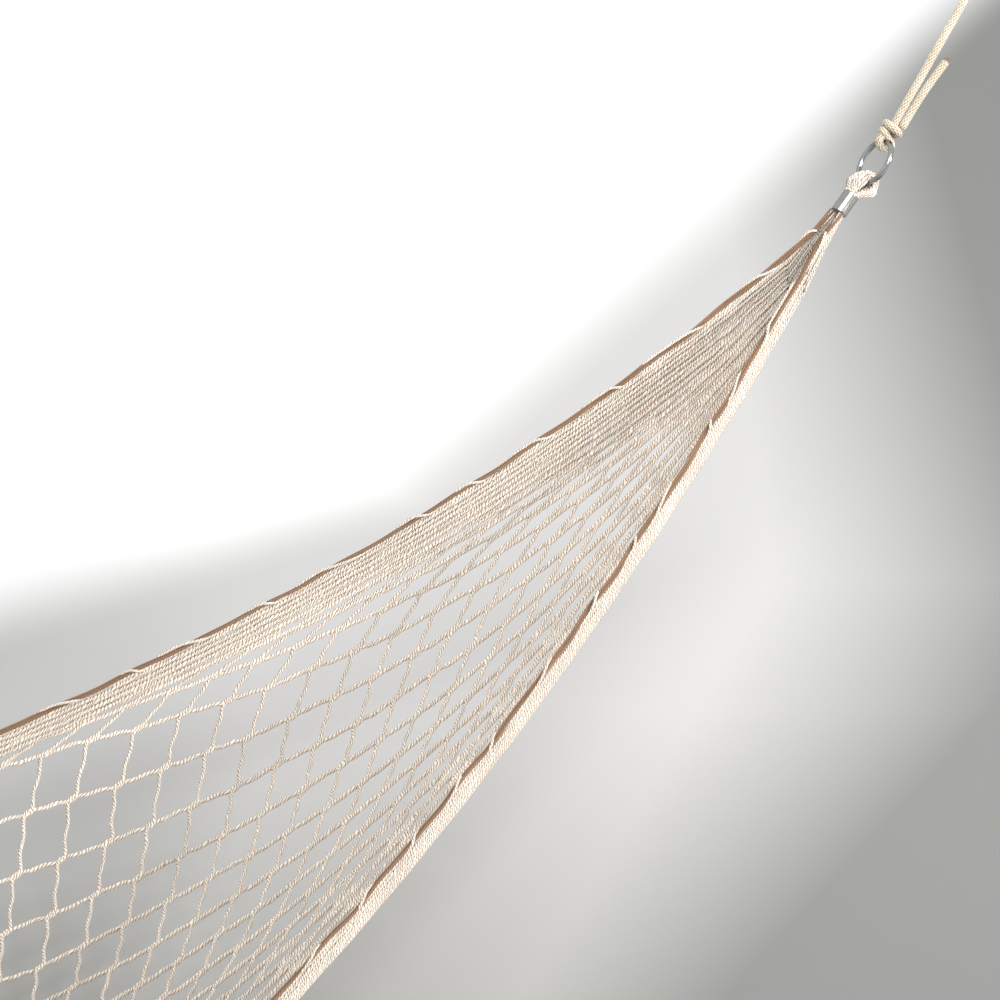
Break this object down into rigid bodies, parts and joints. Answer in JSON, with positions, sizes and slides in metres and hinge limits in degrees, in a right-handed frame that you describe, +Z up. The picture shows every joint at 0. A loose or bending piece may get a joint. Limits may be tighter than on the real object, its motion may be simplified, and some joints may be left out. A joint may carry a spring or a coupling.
{
  "type": "rope hammock",
  "caption": "Open knotless net bed with corded edges, gathered at each end into a metal sleeve and a ring, hung by knotted ropes from two wall hooks",
  "frame": {"origin": "the middle of the right wall plate's back face", "axes": "+X out of the right wall plate's back into the wall, +Y to the far side of the hammock, +Z up"},
  "size_m": [2.4761, 0.434, 0.5625],
  "materials": {
    "zinc_steel": "satin",
    "rope_cream": "braided",
    "polished_steel": "polished",
    "net_cord": "knitted",
    "crimped_aluminium": "satin",
    "selvedge_brown": "twisted"
  },
  "bodies": {
    "wall_hooks": {"hook_plate_right": "zinc_steel", "hook_plate_left": "zinc_steel"},
    "hammock": {"hang_loop_right": "rope_cream", "hang_loop_left": "rope_cream", "loop_knot_right": "rope_cream", "loop_knot_left": "rope_cream", "loop_tail_right": "rope_cream", "loop_tail_left": "rope_cream", "rope_right": "rope_cream", "rope_left": "rope_cream", "ring_knot_right": "rope_cream", "ring_knot_left": "rope_cream", "ring_bight_right": "rope_cream", "ring_bight_left": "rope_cream", "ring_tail_right": "rope_cream", "ring_tail_left": "rope_cream", "eye_right": "net_cord", "eye_left": "net_cord", "sleeve_right": "crimped_aluminium", "sleeve_left": "crimped_aluminium", "net_bed": "net_cord", "selvedge_near": "selvedge_brown", "selvedge_far": "selvedge_brown"},
    "ring_right": {"ring_right": "polished_steel"},
    "ring_left": {"ring_left": "polished_steel"}
  },
  "joints": [
    {"name": "sway", "type": "hinge", "parent": "wall_hooks", "child": "hammock", "pos_m": [-0.02566, 0, 0.00234], "axis": [1, 0, 0], "range_deg": [-25, 25]},
    {"name": "ring_spin_right", "type": "hinge", "parent": "hammock", "child": "ring_right", "pos_m": [-0.19721, 0, -0.1767], "axis": [-0.684, 0.4226, 0.5946], "continuous": true},
    {"name": "ring_spin_left", "type": "hinge", "parent": "hammock", "child": "ring_left", "pos_m": [-2.27892, 0, -0.1767], "axis": [0.684, 0.4226, 0.5946], "continuous": true}
  ]
}
